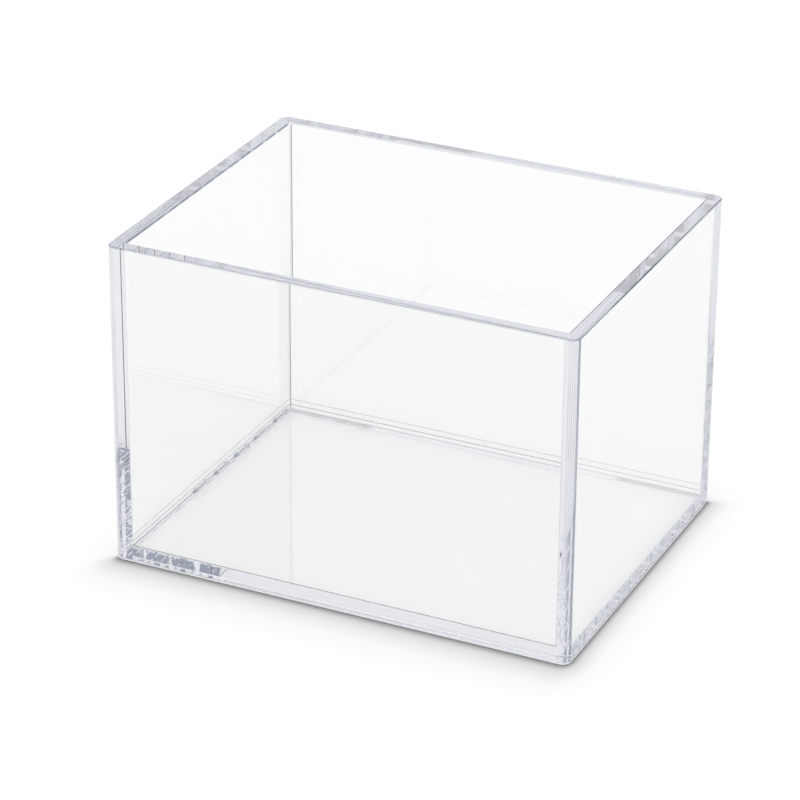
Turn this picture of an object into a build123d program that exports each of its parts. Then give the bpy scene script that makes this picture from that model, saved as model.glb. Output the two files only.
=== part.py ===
from build123d import *
import os

# Open-topped storage box, bonded from five cut pieces of clear acrylic sheet.
# X runs along the wide side, Y from front to back and Z up.
# The origin is in the middle of the underside, on the surface that the box stands on.

# Driving dimensions, in millimetres
box_width = 130.0     # over the outsides of the left and right walls
box_depth = 100.0     # over the outsides of the front and back walls
box_height = 90.0     # from the underside to the rim
wall_sheet = 4.0      # gauge of the four walls
base_sheet = 3.0      # gauge of the base
corner_round = 2.4    # radius polished on the four upright corners
rim_break = 0.35      # arris broken along both sides of the rim
foot_break = 0.5      # arris broken round the outside of the foot

# Sizes that follow from them
inner_width = box_width - 2 * wall_sheet
inner_depth = box_depth - 2 * wall_sheet
inner_height = box_height - base_sheet
back_place = (box_depth - wall_sheet) / 2     # middle of the back wall's thickness
side_place = (box_width - wall_sheet) / 2     # middle of the right wall's thickness

stand = (Align.CENTER, Align.CENTER, Align.MIN)


def block(width, depth, height, x=0, y=0, z=0):
    """A squared block that stands on height z with its middle over x, y."""
    return Pos(x, y, z) * Box(width, depth, height, align=stand)


def edges_at(solid, height, inside):
    """The level edges at one height: those round the opening, or those round the outside."""
    def lies_inside(edge):
        middle = edge @ 0.5
        return abs(middle.X) < side_place and abs(middle.Y) < back_place

    level = solid.edges().filter_by_position(Axis.Z, height, height)
    return level.filter_by(lambda edge: lies_inside(edge) == inside)


def polished_shell():
    """The whole box as it leaves the polishing bench, after the five pieces are bonded.

    Working the bonded box, and not the loose pieces, is what lets each arris run
    on across a butt joint and meet the next one in a clean mitre.
    """
    shell = block(box_width, box_depth, box_height)
    shell = fillet(shell.edges().filter_by(Axis.Z), corner_round)
    shell -= block(inner_width, inner_depth, inner_height, z=base_sheet)
    shell = chamfer(edges_at(shell, box_height, inside=False), rim_break)
    shell = chamfer(edges_at(shell, box_height, inside=True), rim_break)
    return chamfer(edges_at(shell, 0, inside=False), foot_break)


def cut_pieces():
    """Where each sheet lies: front and back run the full width, the other three fit between them."""
    return {
        "front_panel": block(box_width, wall_sheet, box_height, y=-back_place),
        "back_panel": block(box_width, wall_sheet, box_height, y=back_place),
        "left_panel": block(wall_sheet, inner_depth, box_height, x=-side_place),
        "right_panel": block(wall_sheet, inner_depth, box_height, x=side_place),
        "base_panel": block(inner_width, inner_depth, base_sheet),
    }


def make_panels():
    """Each sheet is what the polished box holds within that sheet's own place."""
    shell = polished_shell()
    return {name: shell & sheet for name, sheet in cut_pieces().items()}


def write_parts(panels):
    """One STEP file for each sheet, named as its node."""
    os.makedirs("parts", exist_ok=True)
    for name, panel in panels.items():
        solids = panel.solids()
        if len(solids) != 1:
            raise ValueError(f"{name} has {len(solids)} solids")
        solid = solids[0]
        solid.label = name
        export_step(solid, f"parts/{name}.step")
        size = solid.bounding_box().size
        print(f"{name}: {size.X:.2f} x {size.Y:.2f} x {size.Z:.2f}, {solid.volume:.0f} cubic mm")


write_parts(make_panels())
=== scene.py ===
import math
import bmesh
import bpy
from mathutils import Matrix, Vector


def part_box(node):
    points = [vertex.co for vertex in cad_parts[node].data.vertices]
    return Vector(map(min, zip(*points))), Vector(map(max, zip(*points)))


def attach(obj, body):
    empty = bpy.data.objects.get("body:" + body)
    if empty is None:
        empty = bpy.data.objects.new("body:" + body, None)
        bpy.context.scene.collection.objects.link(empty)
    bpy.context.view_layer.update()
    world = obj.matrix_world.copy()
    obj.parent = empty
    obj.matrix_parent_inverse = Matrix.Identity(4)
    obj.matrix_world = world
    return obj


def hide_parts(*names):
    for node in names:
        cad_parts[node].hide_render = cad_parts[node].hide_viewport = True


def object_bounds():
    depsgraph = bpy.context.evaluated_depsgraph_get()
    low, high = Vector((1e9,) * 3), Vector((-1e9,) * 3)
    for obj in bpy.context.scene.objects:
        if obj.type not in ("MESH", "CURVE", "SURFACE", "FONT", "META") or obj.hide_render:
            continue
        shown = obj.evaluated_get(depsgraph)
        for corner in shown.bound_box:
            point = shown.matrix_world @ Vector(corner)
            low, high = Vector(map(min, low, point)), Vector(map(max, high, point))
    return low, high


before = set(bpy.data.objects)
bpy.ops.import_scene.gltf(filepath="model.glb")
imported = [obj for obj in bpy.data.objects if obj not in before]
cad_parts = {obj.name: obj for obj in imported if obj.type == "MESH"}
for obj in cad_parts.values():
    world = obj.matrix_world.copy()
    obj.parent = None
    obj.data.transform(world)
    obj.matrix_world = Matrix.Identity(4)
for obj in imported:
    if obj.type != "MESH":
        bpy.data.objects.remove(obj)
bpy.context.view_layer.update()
print("frame loaded:", sorted(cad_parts))

mm = 0.001
near = 0.01 * mm     # places closer than this are on one plane
weld = 0.001 * mm    # points closer than this are one
flat = 0.9999        # from this share of its normal along an axis, a face is square to it
facing = 0.9         # from this one, it looks along the axis
leaning = 0.1        # and up to this one, it runs along the axis

# the box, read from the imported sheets
outerLow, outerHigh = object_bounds()
innerLow = Vector((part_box("left_panel")[1].x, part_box("front_panel")[1].y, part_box("base_panel")[1].z))
innerHigh = Vector((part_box("right_panel")[0].x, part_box("back_panel")[0].y, outerHigh.z))
axisOf = {"x": Vector((1, 0, 0)), "y": Vector((0, 1, 0)), "z": Vector((0, 0, 1))}


def srgb(hexColour):
    # the sRGB curve, from a hex colour to a linear one
    channels = [int(hexColour[i:i + 2], 16) / 255 for i in (1, 3, 5)]
    return [c / 12.92 if c <= 0.04045 else ((c + 0.055) / 1.055) ** 2.4 for c in channels] + [1.0]


def grey(level):
    return [level] * 3 + [1.0]


def addNode(tree, kind, settings=None, inputs=None, links=None):
    node = tree.nodes.new(kind)
    for name, value in (settings or {}).items():
        setattr(node, name, value)
    for name, value in (inputs or {}).items():
        node.inputs[name].default_value = value
    for name, socket in (links or {}).items():
        tree.links.new(socket, node.inputs[name])
    return node


def setStops(ramp, stops):
    # gives a colour ramp its stops, each a place from 0 to 1 and a linear colour
    elements = ramp.color_ramp.elements
    elements.remove(elements[1])
    for i, (place, colour) in enumerate(stops):
        stop = elements[0] if i == 0 else elements.new(place)
        stop.position = place
        stop.color = colour


def newMaterial(name):
    material = bpy.data.materials.new(name)
    material.use_nodes = True
    material.node_tree.nodes.clear()
    return material, material.node_tree


# camera: a long lens, a little above the rim and turned to show the right side
view = {
    "azimuth": 25.107, "elevation": 26.174, "roll": 0.423,   # degrees
    "distance": 927.9 * mm, "slideRight": -4.91 * mm, "slideUp": -6.00 * mm,
    "focalPixels": 3515.9, "imagePixels": 800,
    "sensor": 36,                                            # millimetres
    "clipEnd": 100,                                          # metres
}


def makeCamera():
    azimuth, elevation, roll = (math.radians(view[k]) for k in ("azimuth", "elevation", "roll"))
    back = Vector((math.sin(azimuth) * math.cos(elevation),
                   -math.cos(azimuth) * math.cos(elevation),
                   math.sin(elevation)))
    level = Vector((math.cos(azimuth), math.sin(azimuth), 0))
    upright = back.cross(level)
    right = level * math.cos(roll) + upright * math.sin(roll)
    up = upright * math.cos(roll) - level * math.sin(roll)
    aim = (outerLow + outerHigh) / 2 + right * view["slideRight"] + up * view["slideUp"]
    data = bpy.data.cameras.new("camera")
    data.sensor_width = view["sensor"]
    data.lens = view["focalPixels"] / view["imagePixels"] * view["sensor"]
    data.clip_end = view["clipEnd"]
    camera = bpy.data.objects.new("camera", data)
    bpy.context.collection.objects.link(camera)
    turned = Matrix((right, up, back)).transposed().to_4x4()
    camera.matrix_world = Matrix.Translation(aim + back * view["distance"]) @ turned
    bpy.context.scene.camera = camera
    return camera


camera = makeCamera()
print("camera placed, lens", round(camera.data.lens, 1), "mm")


def cubeBetween(bm, low, high):
    made = bmesh.ops.create_cube(bm, size=1)
    bmesh.ops.scale(bm, vec=high - low, verts=made["verts"])
    bmesh.ops.translate(bm, vec=(low + high) / 2, verts=made["verts"])
    return made["verts"]


def levelEdges(bm, height):
    return [e for e in bm.edges if all(abs(v.co.z - height) < near for v in e.verts)]


def bevel(bm, edges, offset, segments):
    return bmesh.ops.bevel(bm, geom=edges, offset=offset, offset_type="OFFSET", segments=segments,
                           profile=0.5, affect="EDGES", material=-1, clamp_overlap=False)["faces"]


def cutAway(bm, axis, at, side):
    # cuts off what lies above or below a place on an axis, and returns the open edges that are left there
    bmesh.ops.bisect_plane(bm, geom=bm.verts[:] + bm.edges[:] + bm.faces[:], dist=weld,
                           plane_co=axisOf[axis] * at, plane_no=axisOf[axis],
                           clear_outer=side > 0, clear_inner=side < 0)
    return [e for e in bm.edges if e.is_boundary]


def splitFaces(bm, faces, at, normal):
    verts = list(dict.fromkeys(v for f in faces for v in f.verts))
    edges = list(dict.fromkeys(e for f in faces for e in f.edges))
    bmesh.ops.bisect_plane(bm, geom=verts + edges + faces, dist=weld, plane_co=at, plane_no=normal)


def splitAcross(bm, faces, axis, at):
    splitFaces(bm, faces, axisOf[axis] * at, axisOf[axis])


def facesAt(bm, axis, at, slack=near):
    # the faces that look along an axis and lie at one place on it
    i = "xyz".index(axis)
    return [f for f in bm.faces
            if abs(f.normal[i]) > facing and abs(f.calc_center_median()[i] - at) < slack]


def insideFaces(bm):
    # the flat faces that look into the box
    found = []
    for face in bm.faces:
        c = face.calc_center_median()
        i = max(range(3), key=lambda axis: abs(face.normal[axis]))
        onWall = i < 2 and any(abs(c[i] - side[i]) < near for side in (innerLow, innerHigh))
        onBase = i == 2 and abs(c.z - innerLow.z) < near
        within = all(innerLow[k] - near < c[k] < innerHigh[k] + near for k in range(3))
        if (onWall or onBase) and within and abs(face.normal[i]) > flat:
            found.append(face)
    return found


def newPiece(name, bm):
    mesh = bpy.data.meshes.new(name)
    bm.to_mesh(mesh)
    bm.free()
    piece = bpy.data.objects.new(name, mesh)
    bpy.context.collection.objects.link(piece)
    return piece


# the edges are worked on the bonded box, so that they run on over the joints
edgeWork = {
    "cornerRound": 2.4 * mm, "cornerSegments": 20,   # flame-polished upright corners
    "rimBreak": 0.35 * mm, "rimSegments": 3,         # scraped arrises
    "footBreak": 0.5 * mm, "footSegments": 4,
    "footScrape": 0.35,                              # the foot was scraped less than the rim, which is 1
    "baseBreak": 0.2 * mm,                           # leaves a hairline along the joints underneath
    "endShare": 0.25,                                # an edge this much shorter than its strip is an end
}


def squareOffEnds(bm):
    # the short ends of a long curved strip are sharp, so that its shading doesn't tilt along its length
    for face in bm.faces:
        longest = max(e.calc_length() for e in face.edges)
        for edge in face.edges:
            if face.smooth and edge.calc_length() < longest * edgeWork["endShare"]:
                edge.smooth = False


def bondedShell():
    bm = bmesh.new()
    worked = bm.faces.layers.float.new("worked")   # how hard a face was scraped
    bm.faces.layers.float.new("hair")              # how dark a fine line on it is
    cubeBetween(bm, outerLow, outerHigh)
    uprights = [e for e in bm.edges if abs(e.verts[0].co.z - e.verts[1].co.z) > near]
    bevel(bm, uprights, edgeWork["cornerRound"], edgeWork["cornerSegments"])
    bevel(bm, levelEdges(bm, outerHigh.z), edgeWork["rimBreak"], edgeWork["rimSegments"])
    bevel(bm, levelEdges(bm, outerLow.z), edgeWork["footBreak"], edgeWork["footSegments"])
    top = [f for f in bm.faces if all(abs(v.co.z - outerHigh.z) < near for v in f.verts)]
    bmesh.ops.delete(bm, geom=top, context="FACES_ONLY")
    outerLoop = [e for e in bm.edges if e.is_boundary]
    for face in bm.faces:
        if max(abs(c) for c in face.normal) < flat:
            face.smooth = True
            if abs(face.normal.z) > leaning:
                face[worked] = 1 if face.normal.z > 0 else edgeWork["footScrape"]
    # the cavity stops one arris below the rim and flares out to it
    flare = edgeWork["rimBreak"]
    cavity = cubeBetween(bm, innerLow, Vector((innerHigh.x, innerHigh.y, innerHigh.z - flare)))
    cover = [f for f in bm.faces if all(v in cavity and v.co.z > innerHigh.z / 2 for v in f.verts)]
    bmesh.ops.delete(bm, geom=cover, context="FACES_ONLY")
    mouth = [e for e in bm.edges if e.is_boundary and e not in outerLoop]
    lip = bmesh.ops.extrude_edge_only(bm, edges=mouth)["geom"]
    for vert in [g for g in lip if isinstance(g, bmesh.types.BMVert)]:
        vert.co += Vector((math.copysign(flare, vert.co.x), math.copysign(flare, vert.co.y), flare))
    for face in [g for g in lip if isinstance(g, bmesh.types.BMFace)]:
        face[worked] = 1
    innerLoop = [e for e in bm.edges if e.is_boundary and e not in outerLoop]
    bmesh.ops.triangle_fill(bm, edges=outerLoop + innerLoop, normal=axisOf["z"], use_beauty=True)
    bmesh.ops.recalc_face_normals(bm, faces=bm.faces)
    squareOffEnds(bm)
    return bm


cement = {
    "film": 0.012 * mm,                    # between the end of a sheet and the next sheet
    "bead": 0.3 * mm, "beadSegments": 6,   # the run of it in the inner corners
    "beadOver": 4,                         # beads that it is made too tall by, before it is cut off
    # its thin edges draw fine lines, heavier on the uprights: from what share of the normal, and how dark
    "uprightFrom": 0.9, "uprightDark": 1.0, "levelFrom": 0.96, "levelDark": 0.2,
}

# how each wall is freed from the bonded shell: the axis through its thickness,
# and each cut's axis, its place and the side that goes
wallCuts = {
    "front_panel": ("y", [("y", innerLow.y, 1)]),
    "back_panel": ("y", [("y", innerHigh.y, -1)]),
    "left_panel": ("x", [("x", innerLow.x, 1), ("y", innerHigh.y, 1), ("y", innerLow.y, -1)]),
    "right_panel": ("x", [("y", innerHigh.y, 1), ("x", innerHigh.x, -1), ("y", innerLow.y, -1)]),
}


def wallSheet(shell, thickness, cuts):
    bm = shell.copy()
    bonded = bm.faces.layers.float.new("bonded")   # 1 where the cement joins a face to the next sheet
    for axis, at, side in cuts:
        cutLoop = cutAway(bm, axis, at, side)
        if axis != thickness:   # the end of a sheet stands off by the cement film
            endVerts = list({v for e in cutLoop for v in e.verts})
            bmesh.ops.translate(bm, vec=-axisOf[axis] * side * cement["film"], verts=endVerts)
        for face in bmesh.ops.holes_fill(bm, edges=cutLoop)["faces"]:
            face[bonded] = 1
            face.smooth = False
    return bm


def baseSheet():
    bm = bmesh.new()
    bm.faces.layers.float.new("worked")
    bm.faces.layers.float.new("hair")
    bonded = bm.faces.layers.float.new("bonded")
    film = Vector((cement["film"], cement["film"], 0))
    low = Vector((innerLow.x, innerLow.y, outerLow.z)) + film
    high = Vector((innerHigh.x, innerHigh.y, innerLow.z)) - film
    cubeBetween(bm, low, high)
    bevel(bm, levelEdges(bm, outerLow.z), edgeWork["baseBreak"], 1)
    for face in bm.faces:
        face[bonded] = 1 if abs(face.normal.z) < leaning else 0
    return bm


def underBead(bm):
    # where the bead of cement lies on a sheet, the two are one
    bonded = bm.faces.layers.float["bonded"]
    bead = cement["bead"]
    places = [("z", innerLow.z + bead), ("x", innerLow.x + bead), ("x", innerHigh.x - bead),
              ("y", innerLow.y + bead), ("y", innerHigh.y - bead)]
    for axis, at in places:
        splitAcross(bm, [f for f in insideFaces(bm) if not f[bonded]], axis, at)
    for face in insideFaces(bm):
        c = face.calc_center_median()
        edgesNear = [c.z < innerLow.z + bead,
                     c.x < innerLow.x + bead or c.x > innerHigh.x - bead,
                     c.y < innerLow.y + bead or c.y > innerHigh.y - bead]
        if sum(edgesNear) > 1:
            face[bonded] = 1


bubble = {
    "first": -43 * mm, "pitch": 13 * mm,    # along the joint
    "length": 7.5 * mm, "slant": 0.9,
    "endWidth": 0.35 * mm, "endDark": 0.8,
}


def catchBubbles(bm):
    # slanting patches of the joint between base and left wall that the cement didn't reach, with dark ends
    bonded = bm.faces.layers.float["bonded"]
    hair = bm.faces.layers.float["hair"]
    half = bubble["endWidth"] / 2
    slant = Vector((0, 1, -bubble["slant"])).normalized()

    def strip():
        joint = facesAt(bm, "x", innerLow.x, cement["film"] + near)
        return [f for f in joint if f.calc_center_median().z < innerLow.z]

    middle = bubble["first"]
    while middle < innerHigh.y:
        ends = [middle - bubble["length"] / 2, middle + bubble["length"] / 2]
        for at in [end + side for end in ends for side in (-half, half)]:
            splitFaces(bm, strip(), Vector((0, at, innerLow.z / 2)), slant)
        for face in strip():
            y = face.calc_center_bounds().y
            if ends[0] - half < y < ends[1] + half:
                face[bonded] = 0
            if min(abs(y - end) for end in ends) < half:
                face[hair] = bubble["endDark"]
        middle += bubble["pitch"]


airLine = {"width": 0.26 * mm, "fromCorner": 0.75 * mm, "lowest": 32 * mm, "dark": 1.0}


def drawAirLine(bm):
    # a line of air that stayed in the joint behind the front wall, close to the inner corner
    hair = bm.faces.layers.float["hair"]
    bonded = bm.faces.layers.float["bonded"]
    right = innerLow.x - airLine["fromCorner"]
    left = right - airLine["width"]

    def joint():
        return facesAt(bm, "y", innerLow.y, cement["film"] + near)

    for axis, at in (("x", left), ("x", right), ("z", airLine["lowest"])):
        splitAcross(bm, joint(), axis, at)
    for face in joint():
        c = face.calc_center_median()
        if left < c.x < right and c.z > airLine["lowest"]:
            face[hair] = airLine["dark"]
            face[bonded] = 0


sawMark = {
    "width": 0.45 * mm, "depth": 0.12 * mm,
    "fromLeft": [1.0 * mm, 2.7 * mm], "fromRight": [2.3 * mm, 0.9 * mm],   # in from the outside of the box
}


def cutSawMarks(bm, places):
    # shallow marks that the saw left along the lower edge of a side wall
    half = sawMark["width"] / 2
    for x in places:
        for at in (x - half, x, x + half):
            splitAcross(bm, facesAt(bm, "z", outerLow.z), "x", at)
        sole = facesAt(bm, "z", outerLow.z)
        for vert in {v for f in sole for v in f.verts if abs(v.co.x - x) < near}:
            vert.co.z += sawMark["depth"]


fineLine = {
    "width": 0.24 * mm,
    "runs": [(1.2 * mm, 0.8), (2.9 * mm, 0.6)],   # where runs of cement ended: height, darkness
    "cornerDark": 0.9,                            # along an inner corner
    "arrisWidth": 0.3 * mm, "arrisDark": 0.9,
}


def drawLine(bm, axis, low, dark):
    # a fine line across the inside of a sheet, where the cement ended on it
    hair = bm.faces.layers.float["hair"]
    high = low + fineLine["width"]
    i = "xyz".index(axis)

    def crossed():
        return [f for f in insideFaces(bm) if abs(f.normal[i]) < leaning]

    for at in (low, high):
        splitAcross(bm, crossed(), axis, at)
    for face in crossed():
        if low < face.calc_center_median()[i] < high:
            face[hair] = dark


def drawArris(bm):
    # the inner arris of the right wall, scraped darker along the rim
    hair = bm.faces.layers.float["hair"]
    end = innerHigh.x + edgeWork["rimBreak"] + fineLine["arrisWidth"]
    splitAcross(bm, facesAt(bm, "z", outerHigh.z), "x", end)
    for face in facesAt(bm, "z", outerHigh.z):
        if face.calc_center_median().x < end:
            face[hair] = fineLine["arrisDark"]


def markSheet(bm, node):
    # what sawing and bonding left on each sheet
    if node in ("left_panel", "base_panel"):
        catchBubbles(bm)
    if node == "left_panel":
        drawAirLine(bm)
        cutSawMarks(bm, [outerLow.x + inward for inward in sawMark["fromLeft"]])
    if node == "right_panel":
        drawArris(bm)
        cutSawMarks(bm, [outerHigh.x - inward for inward in sawMark["fromRight"]])
    if node in ("left_panel", "back_panel"):
        for height, dark in fineLine["runs"]:
            drawLine(bm, "z", innerLow.z + height, dark)
    if node == "back_panel":
        drawLine(bm, "x", innerLow.x + cement["bead"], fineLine["cornerDark"])
    if node == "front_panel":
        drawLine(bm, "z", innerLow.z + cement["bead"], fineLine["cornerDark"])


def cementBead():
    # the clear meniscus in the inner corners: the cavity's edges less the same cavity with rounded edges
    bm = bmesh.new()
    worked = bm.faces.layers.float.new("worked")
    bonded = bm.faces.layers.float.new("bonded")
    bead = cement["bead"]
    film = Vector((1, 1, 1)) * cement["film"]
    low = innerLow + film
    high = innerHigh - film + axisOf["z"] * cement["beadOver"] * bead
    cubeBetween(bm, low, high)
    curved = bevel(bm, bm.edges[:], bead, cement["beadSegments"])
    bmesh.ops.delete(bm, geom=[f for f in bm.faces if f not in curved], context="FACES_ONLY")
    for face in bm.faces:
        face.smooth = True
        run = "upright" if abs(face.normal.z) < leaning else "level"
        thin = max(abs(c) for c in face.normal) > cement[run + "From"]
        face[worked] = cement[run + "Dark"] if thin else 0
    square = set(cubeBetween(bm, low, high))
    sides = [f for f in bm.faces if all(v in square for v in f.verts)]
    frames = bmesh.ops.inset_individual(bm, faces=sides, thickness=bead, use_even_offset=True)["faces"]
    for face in frames:
        face[bonded] = 1
    bmesh.ops.delete(bm, geom=sides, context="FACES_ONLY")
    bmesh.ops.remove_doubles(bm, verts=bm.verts, dist=weld)
    openEnds = cutAway(bm, "z", innerHigh.z - edgeWork["rimBreak"] - bead, 1)
    for face in bmesh.ops.holes_fill(bm, edges=openEnds)["faces"]:
        face.smooth = False
    bmesh.ops.recalc_face_normals(bm, faces=bm.faces)
    squareOffEnds(bm)
    return bm


# drops that ran out of the left joint along the corner
drop = {
    "half": Vector((1.1, 4.6, 1.1)) * mm, "around": 40, "along": 20,
    "first": -8 * mm, "pitch": 12 * mm, "count": 5,
    "clear": 3.6 * mm,   # past this far from its middle a drop is tinted as a thin edge is
    "wet": 2.2 * mm,     # and this far from it, a drop has wetted the sheets
}


def cementDrops():
    bm = bmesh.new()
    worked = bm.faces.layers.float.new("worked")
    bonded = bm.faces.layers.float.new("bonded")
    cornerX = innerLow.x + cement["film"]
    cornerZ = innerLow.z + cement["film"]
    middles = [drop["first"] + i * drop["pitch"] for i in range(drop["count"])]

    def fromMiddle(face):
        return min(abs(face.calc_center_median().y - middle) for middle in middles)

    for middle in middles:
        ball = bmesh.ops.create_uvsphere(bm, u_segments=drop["around"], v_segments=drop["along"], radius=1)
        bmesh.ops.scale(bm, vec=drop["half"], verts=ball["verts"])
        bmesh.ops.translate(bm, vec=Vector((cornerX, middle, cornerZ)), verts=ball["verts"])
    for face in bm.faces:
        face.smooth = True
        face[worked] = 1 if fromMiddle(face) > drop["clear"] else 0
    for axis, at in (("z", cornerZ), ("x", cornerX)):
        for face in bmesh.ops.holes_fill(bm, edges=cutAway(bm, axis, at, -1))["faces"]:
            face.smooth = False
    # the ends of a drop stand off the sheets, and look dark
    for middle in middles:
        for end in (middle - drop["wet"], middle + drop["wet"]):
            splitAcross(bm, [f for f in bm.faces if not f.smooth], "y", end)
    for face in bm.faces:
        if not face.smooth and fromMiddle(face) < drop["wet"]:
            face[bonded] = 1
    return bm


acrylicLook = {
    "tint": "#fbfbfb", "ior": 1.49,
    "absorb": "#e3e6ec", "density": 7.0,              # per metre
    "arrisRoughness": 0.12, "arrisTint": "#c9cdd6",   # scraped plastic is a little grey
    "hairTint": "#3a3632",
    "rippleLength": 9.0 * mm, "rippleDepth": 0.005 * mm, "rippleRoughness": 0.4,
    "grooveWidth": 1.6 * mm, "grooveLength": 60 * mm, "grooveDepth": 0.012 * mm, "grooveRoughness": 0.5,
    "fadeFrom": 1 * mm, "fadeTo": 8 * mm,             # heights between which ripples and grooves fade out
    "sole": 0.99,                                     # grooves lie on faces that look down this squarely
}


def castAcrylic():
    # cast acrylic sheet, sawn, scraped and flame-polished: a wall looks clear from the front,
    # and lavender grey where light runs along inside it
    look = acrylicLook
    material, tree = newMaterial("cast_acrylic_sheet")
    joined = addNode(tree, "ShaderNodeAttribute", {"attribute_name": "bonded"})
    scraped = addNode(tree, "ShaderNodeAttribute", {"attribute_name": "worked"})
    hair = addNode(tree, "ShaderNodeAttribute", {"attribute_name": "hair"})
    # slow ripples that the flame left low on the side walls
    where = addNode(tree, "ShaderNodeTexCoord")
    axes = addNode(tree, "ShaderNodeSeparateXYZ", links={0: where.outputs["Object"]})
    low = addNode(tree, "ShaderNodeMapRange", {"interpolation_type": "SMOOTHSTEP"},
                  inputs={"From Min": look["fadeTo"], "From Max": look["fadeFrom"]},
                  links={"Value": axes.outputs["Z"]})
    ripple = addNode(tree, "ShaderNodeTexNoise",
                     inputs={"Scale": 1 / look["rippleLength"], "Detail": 1.0,
                             "Roughness": look["rippleRoughness"]},
                     links={"Vector": where.outputs["Object"]})
    ripple = addNode(tree, "ShaderNodeMath", {"operation": "MULTIPLY"},
                     inputs={1: look["rippleDepth"]}, links={0: ripple.outputs["Fac"]})
    ripple = addNode(tree, "ShaderNodeMath", {"operation": "MULTIPLY"},
                     links={0: ripple.outputs[0], 1: low.outputs[0]})
    # long grooves that the planer left along their sawn lower edges
    across = addNode(tree, "ShaderNodeMath", {"operation": "DIVIDE"},
                     inputs={1: look["grooveWidth"]}, links={0: axes.outputs["X"]})
    along = addNode(tree, "ShaderNodeMath", {"operation": "DIVIDE"},
                    inputs={1: look["grooveLength"]}, links={0: axes.outputs["Y"]})
    at = addNode(tree, "ShaderNodeCombineXYZ", links={0: across.outputs[0], 1: along.outputs[0]})
    groove = addNode(tree, "ShaderNodeTexNoise",
                     inputs={"Scale": 1.0, "Detail": 1.0, "Roughness": look["grooveRoughness"]},
                     links={"Vector": at.outputs[0]})
    shape = addNode(tree, "ShaderNodeNewGeometry")
    normal = addNode(tree, "ShaderNodeSeparateXYZ", links={0: shape.outputs["True Normal"]})
    sole = addNode(tree, "ShaderNodeMath", {"operation": "ABSOLUTE"}, links={0: normal.outputs["Z"]})
    sole = addNode(tree, "ShaderNodeMath", {"operation": "GREATER_THAN"},
                   inputs={1: look["sole"]}, links={0: sole.outputs[0]})
    groove = addNode(tree, "ShaderNodeMath", {"operation": "MULTIPLY"},
                     links={0: groove.outputs["Fac"], 1: sole.outputs[0]})
    groove = addNode(tree, "ShaderNodeMath", {"operation": "MULTIPLY"},
                     links={0: groove.outputs[0], 1: low.outputs[0]})
    height = addNode(tree, "ShaderNodeMath", {"operation": "MULTIPLY_ADD"},
                     inputs={1: look["grooveDepth"]}, links={0: groove.outputs[0], 2: ripple.outputs[0]})
    # both only show on the side walls
    reach = addNode(tree, "ShaderNodeMath", {"operation": "ABSOLUTE"}, links={0: axes.outputs["X"]})
    sideWall = addNode(tree, "ShaderNodeMath", {"operation": "GREATER_THAN"},
                       inputs={1: innerHigh.x}, links={0: reach.outputs[0]})
    height = addNode(tree, "ShaderNodeMath", {"operation": "MULTIPLY"},
                     links={0: height.outputs[0], 1: sideWall.outputs[0]})
    bump = addNode(tree, "ShaderNodeBump", inputs={"Strength": 1.0, "Distance": 1.0},
                   links={"Height": height.outputs[0]})
    # arrises are greyer and less smooth, fine lines are dark, and bonded faces can't be seen
    tint = addNode(tree, "ShaderNodeMix", {"data_type": "RGBA"},
                   inputs={6: srgb(look["tint"]), 7: srgb(look["arrisTint"])},
                   links={0: scraped.outputs["Fac"]})
    tint = addNode(tree, "ShaderNodeMix", {"data_type": "RGBA"}, inputs={7: srgb(look["hairTint"])},
                   links={0: hair.outputs["Fac"], 6: tint.outputs[2]})
    rough = addNode(tree, "ShaderNodeMath", {"operation": "MULTIPLY"},
                    inputs={1: look["arrisRoughness"]}, links={0: scraped.outputs["Fac"]})
    free = addNode(tree, "ShaderNodeMath", {"operation": "SUBTRACT"},
                   inputs={0: 1.0}, links={1: joined.outputs["Fac"]})
    shader = addNode(tree, "ShaderNodeBsdfPrincipled",
                     inputs={"IOR": look["ior"], "Transmission Weight": 1.0},
                     links={"Base Color": tint.outputs[2], "Alpha": free.outputs[0],
                            "Roughness": rough.outputs[0], "Normal": bump.outputs[0]})
    depth = addNode(tree, "ShaderNodeVolumeAbsorption",
                    inputs={"Color": srgb(look["absorb"]), "Density": look["density"]})
    addNode(tree, "ShaderNodeOutputMaterial",
            links={"Surface": shader.outputs[0], "Volume": depth.outputs[0]})
    return material


cementLook = {"tint": "#f4f5f8", "edgeTint": "#9a9fae"}


def driedCement():
    # dried solvent cement, which is acrylic too: clear, and grey at its thin edges,
    # so that fine lines are drawn in the inner corners
    material, tree = newMaterial("dried_solvent_cement")
    joined = addNode(tree, "ShaderNodeAttribute", {"attribute_name": "bonded"})
    thin = addNode(tree, "ShaderNodeAttribute", {"attribute_name": "worked"})
    free = addNode(tree, "ShaderNodeMath", {"operation": "SUBTRACT"},
                   inputs={0: 1.0}, links={1: joined.outputs["Fac"]})
    tint = addNode(tree, "ShaderNodeMix", {"data_type": "RGBA"},
                   inputs={6: srgb(cementLook["tint"]), 7: srgb(cementLook["edgeTint"])},
                   links={0: thin.outputs["Fac"]})
    shader = addNode(tree, "ShaderNodeBsdfPrincipled",
                     inputs={"IOR": acrylicLook["ior"], "Transmission Weight": 1.0, "Roughness": 0.0},
                     links={"Base Color": tint.outputs[2], "Alpha": free.outputs[0]})
    addNode(tree, "ShaderNodeOutputMaterial", links={"Surface": shader.outputs[0]})
    return material


def placePiece(name, bm, material, node):
    bmesh.ops.recalc_face_normals(bm, faces=bm.faces)
    closed = all(e.is_manifold for e in bm.edges)
    volume = bm.calc_volume() / (10 * mm) ** 3
    print(name, "faces", len(bm.faces), "closed", closed, "cubic cm", round(volume, 3))
    piece = newPiece(name, bm)
    piece.data.materials.append(material)
    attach(piece, "root")
    if node:
        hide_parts(node)


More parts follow.
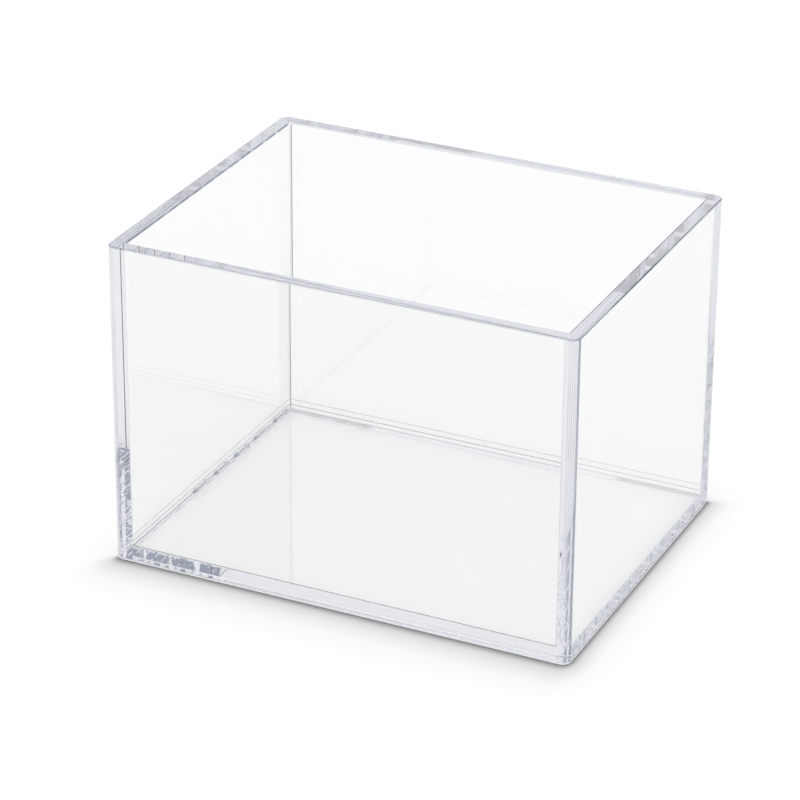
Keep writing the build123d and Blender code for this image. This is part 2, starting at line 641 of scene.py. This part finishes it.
shell = bondedShell()
acrylic = castAcrylic()
for node in ("front_panel", "back_panel", "left_panel", "right_panel", "base_panel"):
    sheet = wallSheet(shell, *wallCuts[node]) if node in wallCuts else baseSheet()
    underBead(sheet)
    markSheet(sheet, node)
    placePiece(node + "_clear", sheet, acrylic, node)
dried = driedCement()
placePiece("cement_bead", cementBead(), dried, None)
placePiece("cement_drops", cementDrops(), dried, None)

# studio: white paper under the box, and grey, white and dark panels round the table
floorLook = {
    "size": 6.0,                      # half its width, metres
    "gap": 0.05 * mm,                 # under the foot of the box
    "albedo": 0.8, "fill": 0.187,     # the fill is light of its own that the camera sees, up to white
    # painted shadow: how much light is left on the paper beside the foot, by the distance from it in mm
    "paintedContactShadow": [(0, 0.24), (0.7, 0.31), (1.2, 0.42), (1.7, 0.52), (2.2, 0.61), (2.9, 0.70),
                (3.9, 0.765), (5.5, 0.82), (7.2, 0.87), (11.5, 0.955), (20, 1.0)],
    "reach": 20.0,                    # mm
    "steeper": Vector((1.9, 1, 1)),   # the painted shadow at the sides is narrower than the one in front
    # that painted shade lies away from the light: how squarely it must, and the least of it round the box
    "paintedLightFrom": Vector((-0.55, 0.83, 0)), "leeFrom": -0.1, "leeTo": 0.5, "least": 0.12,
    # painted light and shade on the paper under the walls, and under the back one by the place along it in
    # mm
    "paintedUnderLeft": 0.95, "paintedUnderRight": 1.2, "paintedUnderFront": 1.16,
    "paintedUnderBack": [(-65, 0.78), (-37, 0.78), (-34, 1.25), (34, 1.25), (37, 0.66), (65, 0.66)],
}


def makeFloor():
    # matt white paper: white to the camera and through the acrylic, with a painted shadow of the box beside
    # its foot and painted light and shade under its walls
    look = floorLook
    material, tree = newMaterial("white_paper_sweep")
    where = addNode(tree, "ShaderNodeTexCoord")
    place = addNode(tree, "ShaderNodeSeparateXYZ", links={0: where.outputs["Object"]})
    # the distance from the foot of the box, with its rounded corners
    side = addNode(tree, "ShaderNodeVectorMath", {"operation": "SIGN"}, links={0: where.outputs["Object"]})
    apart = addNode(tree, "ShaderNodeVectorMath", {"operation": "ABSOLUTE"},
                    links={0: where.outputs["Object"]})
    apart = addNode(tree, "ShaderNodeVectorMath", {"operation": "SUBTRACT"},
                    inputs={1: outerHigh - Vector((1, 1, 0)) * edgeWork["cornerRound"]},
                    links={0: apart.outputs[0]})
    apart = addNode(tree, "ShaderNodeVectorMath", {"operation": "MAXIMUM"}, links={0: apart.outputs[0]})
    away = addNode(tree, "ShaderNodeVectorMath", {"operation": "MULTIPLY"},
                   links={0: apart.outputs[0], 1: side.outputs[0]})
    distance = addNode(tree, "ShaderNodeVectorMath", {"operation": "LENGTH"}, links={0: away.outputs[0]})
    distance = addNode(tree, "ShaderNodeMath", {"operation": "SUBTRACT"},
                       inputs={1: edgeWork["cornerRound"]}, links={0: distance.outputs["Value"]})
    heading = addNode(tree, "ShaderNodeVectorMath", {"operation": "NORMALIZE"}, links={0: away.outputs[0]})
    steeper = addNode(tree, "ShaderNodeVectorMath", {"operation": "MULTIPLY"},
                      inputs={1: look["steeper"]}, links={0: heading.outputs[0]})
    steeper = addNode(tree, "ShaderNodeVectorMath", {"operation": "LENGTH"}, links={0: steeper.outputs[0]})
    distance = addNode(tree, "ShaderNodeMath", {"operation": "MULTIPLY"},
                       links={0: distance.outputs[0], 1: steeper.outputs["Value"]})
    beyond = addNode(tree, "ShaderNodeMath", {"operation": "GREATER_THAN"},
                     inputs={1: near}, links={0: distance.outputs[0]})
    # a painted shadow of the foot on the paper close beside it, mostly on the side away from the light
    lee = addNode(tree, "ShaderNodeVectorMath", {"operation": "DOT_PRODUCT"},
                  inputs={1: -look["paintedLightFrom"]}, links={0: heading.outputs[0]})
    lee = addNode(tree, "ShaderNodeMapRange", {"interpolation_type": "SMOOTHSTEP"},
                  inputs={"From Min": look["leeFrom"], "From Max": look["leeTo"], "To Min": look["least"]},
                  links={"Value": lee.outputs["Value"]})
    lee = addNode(tree, "ShaderNodeMath", {"operation": "MULTIPLY"},
                  links={0: beyond.outputs[0], 1: lee.outputs[0]})
    share = addNode(tree, "ShaderNodeMath", {"operation": "DIVIDE"},
                    inputs={1: look["reach"] * mm}, links={0: distance.outputs[0]})
    paintedContactShadow = addNode(tree, "ShaderNodeValToRGB", links={0: share.outputs[0]})
    setStops(paintedContactShadow, [(apartBy / look["reach"], grey(light)) for apartBy, light in look["paintedContactShadow"]])
    paintedShade = addNode(tree, "ShaderNodeMix", {"data_type": "FLOAT"},
                    inputs={2: 1.0}, links={0: lee.outputs[0], 3: paintedContactShadow.outputs[0]})
    # painted light and shade on the paper under each sheet
    left, width = outerLow.x, outerHigh.x - outerLow.x
    along = addNode(tree, "ShaderNodeMapRange", inputs={"From Min": outerLow.x, "From Max": outerHigh.x},
                    links={"Value": place.outputs["X"]})
    paintedUnderBack = addNode(tree, "ShaderNodeValToRGB", links={0: along.outputs[0]})
    setStops(paintedUnderBack, [((x * mm - left) / width, grey(light)) for x, light in look["paintedUnderBack"]])
    paintedUnder = addNode(tree, "ShaderNodeValue")
    paintedUnder.outputs[0].default_value = 1.0
    for axis, test, at, light in [("X", "LESS_THAN", innerLow.x, look["paintedUnderLeft"]),
                                  ("X", "GREATER_THAN", innerHigh.x, look["paintedUnderRight"]),
                                  ("Y", "LESS_THAN", innerLow.y, look["paintedUnderFront"])]:
        strip = addNode(tree, "ShaderNodeMath", {"operation": test}, inputs={1: at},
                        links={0: place.outputs[axis]})
        paintedUnder = addNode(tree, "ShaderNodeMix", {"data_type": "FLOAT"}, inputs={3: light},
                        links={0: strip.outputs[0], 2: paintedUnder.outputs[0]})
    strip = addNode(tree, "ShaderNodeMath", {"operation": "GREATER_THAN"}, inputs={1: innerHigh.y},
                    links={0: place.outputs["Y"]})
    paintedUnder = addNode(tree, "ShaderNodeMix", {"data_type": "FLOAT"},
                    links={0: strip.outputs[0], 2: paintedUnder.outputs[0], 3: paintedUnderBack.outputs[0]})
    paintedUnder = addNode(tree, "ShaderNodeMix", {"data_type": "FLOAT"}, inputs={3: 1.0},
                    links={0: beyond.outputs[0], 2: paintedUnder.outputs[0]})
    paintedShade = addNode(tree, "ShaderNodeMath", {"operation": "MULTIPLY"},
                    links={0: paintedShade.outputs[0], 1: paintedUnder.outputs[0]})
    # light of its own, only for the camera and for what is seen in and through the acrylic, dimmed by the
    # painted shade
    paths = addNode(tree, "ShaderNodeLightPath")
    seen = addNode(tree, "ShaderNodeMath", {"operation": "MAXIMUM"},
                   links={0: paths.outputs["Is Camera Ray"], 1: paths.outputs["Is Transmission Ray"]})
    seen = addNode(tree, "ShaderNodeMath", {"operation": "MAXIMUM"},
                   links={0: seen.outputs[0], 1: paths.outputs["Is Glossy Ray"]})
    glow = addNode(tree, "ShaderNodeMath", {"operation": "MULTIPLY"},
                   inputs={1: look["fill"]}, links={0: seen.outputs[0]})
    glow = addNode(tree, "ShaderNodeMath", {"operation": "MULTIPLY"},
                   links={0: glow.outputs[0], 1: paintedShade.outputs[0]})
    # the painted shade also darkens the paper's own colour
    white = addNode(tree, "ShaderNodeMix", {"data_type": "RGBA"},
                    inputs={6: grey(0), 7: grey(look["albedo"])}, links={0: paintedShade.outputs[0]})
    shader = addNode(tree, "ShaderNodeBsdfPrincipled",
                     inputs={"Roughness": 1.0, "Specular IOR Level": 0.0, "Emission Color": grey(1)},
                     links={"Emission Strength": glow.outputs[0], "Base Color": white.outputs[2]})
    addNode(tree, "ShaderNodeOutputMaterial", links={"Surface": shader.outputs[0]})
    bm = bmesh.new()
    bmesh.ops.create_grid(bm, x_segments=1, y_segments=1, size=look["size"])
    bmesh.ops.translate(bm, vec=Vector((0, 0, -look["gap"])), verts=bm.verts)
    floor = newPiece("floor", bm)
    floor.data.materials.append(material)


studioLook = {
    # by height, as a sine: white at the table, then the panels, then the ceiling
    "horizon": 1.0, "horizonTop": 0.2, "panelsFrom": 0.3, "panelsTop": 0.62, "ceilingFrom": 0.8,
    "ceiling": 1.35,
    "lightLow": 0.35, "lightTop": 1.35,   # the soft light on the floor comes mostly from above
    # the panels, in degrees from the back wall, clockwise seen from above
    "round": [(-180, "#b9bdc9"), (-168, "#fbfcff"), (-146, "#fbfcff"), (-138, "#8b8f9d"), (-124, "#8b8f9d"),
              (-116, "#fbfbff"), (-62, "#ffffff"), (-56, "#b4b8c7"), (-48, "#b4b8c7"), (-42, "#e1e4ec"),
              (-34, "#fdfdff"), (-16, "#fdfdff"), (-6, "#ffffff"), (10, "#ffffff"), (15, "#b4b8c6"),
              (21, "#999eae"), (25, "#868b9b"), (27, "#a3a8b6"), (32, "#b4b8c6"), (35, "#4a4d56"),
              (39, "#4a4d56"), (44, "#ffffff"), (78, "#ffffff"), (88, "#8b8f9d"), (104, "#8b8f9d"),
              (112, "#f1f3f9"), (136, "#e2e5ee"), (146, "#2b2d33"), (166, "#2b2d33"), (174, "#b9bdc9")],
    "bounces": 256,                       # light crosses many faces on its way along a sheet
}


def makeWorld():
    look = studioLook
    world = bpy.data.worlds.new("studio")
    bpy.context.scene.world = world
    world.use_nodes = True
    tree = world.node_tree
    tree.nodes.clear()
    where = addNode(tree, "ShaderNodeTexCoord")
    axes = addNode(tree, "ShaderNodeSeparateXYZ", links={0: where.outputs["Generated"]})
    turn = addNode(tree, "ShaderNodeMath", {"operation": "ARCTAN2"},
                   links={0: axes.outputs["X"], 1: axes.outputs["Y"]})
    share = addNode(tree, "ShaderNodeMapRange", inputs={"From Min": -math.pi, "From Max": math.pi},
                    links={"Value": turn.outputs[0]})
    panels = addNode(tree, "ShaderNodeValToRGB", links={0: share.outputs[0]})
    setStops(panels, [((degrees + 180) / 360, srgb(hexColour)) for degrees, hexColour in look["round"]])
    rise = addNode(tree, "ShaderNodeMapRange", {"interpolation_type": "SMOOTHSTEP"},
                   inputs={"From Min": look["horizonTop"], "From Max": look["panelsFrom"]},
                   links={"Value": axes.outputs["Z"]})
    walls = addNode(tree, "ShaderNodeMix", {"data_type": "RGBA"}, inputs={6: grey(look["horizon"])},
                    links={0: rise.outputs[0], 7: panels.outputs[0]})
    upward = addNode(tree, "ShaderNodeMapRange", {"interpolation_type": "SMOOTHSTEP"},
                     inputs={"From Min": look["panelsTop"], "From Max": look["ceilingFrom"]},
                     links={"Value": axes.outputs["Z"]})
    room = addNode(tree, "ShaderNodeMix", {"data_type": "RGBA"}, inputs={7: grey(look["ceiling"])},
                   links={0: upward.outputs[0], 6: walls.outputs[2]})
    lamp = addNode(tree, "ShaderNodeMapRange",
                   inputs={"To Min": look["lightLow"], "To Max": look["lightTop"]},
                   links={"Value": axes.outputs["Z"]})
    # light that has met the paper comes from the lamp, and the acrylic shows the room
    paths = addNode(tree, "ShaderNodeLightPath")
    seen = addNode(tree, "ShaderNodeMath", {"operation": "LESS_THAN"},
                   inputs={1: 0.5}, links={0: paths.outputs["Diffuse Depth"]})
    inside = addNode(tree, "ShaderNodeMix", {"data_type": "RGBA"},
                     links={0: seen.outputs[0], 6: lamp.outputs[0], 7: room.outputs[2]})
    colour = addNode(tree, "ShaderNodeMix", {"data_type": "RGBA"}, inputs={7: grey(1)},
                     links={0: paths.outputs["Is Camera Ray"], 6: inside.outputs[2]})
    light = addNode(tree, "ShaderNodeBackground", inputs={"Strength": 1.0},
                    links={"Color": colour.outputs[2]})
    addNode(tree, "ShaderNodeOutputWorld", links={"Surface": light.outputs[0]})


makeFloor()
makeWorld()
bpy.context.scene.view_settings.view_transform = "Standard"
paths = bpy.context.scene.cycles
paths.max_bounces = studioLook["bounces"]
paths.transmission_bounces = studioLook["bounces"]
paths.glossy_bounces = studioLook["bounces"]
paths.transparent_max_bounces = studioLook["bounces"]
paths.blur_glossy = 0
print("studio ready:", len(studioLook["round"]), "stops round the table")
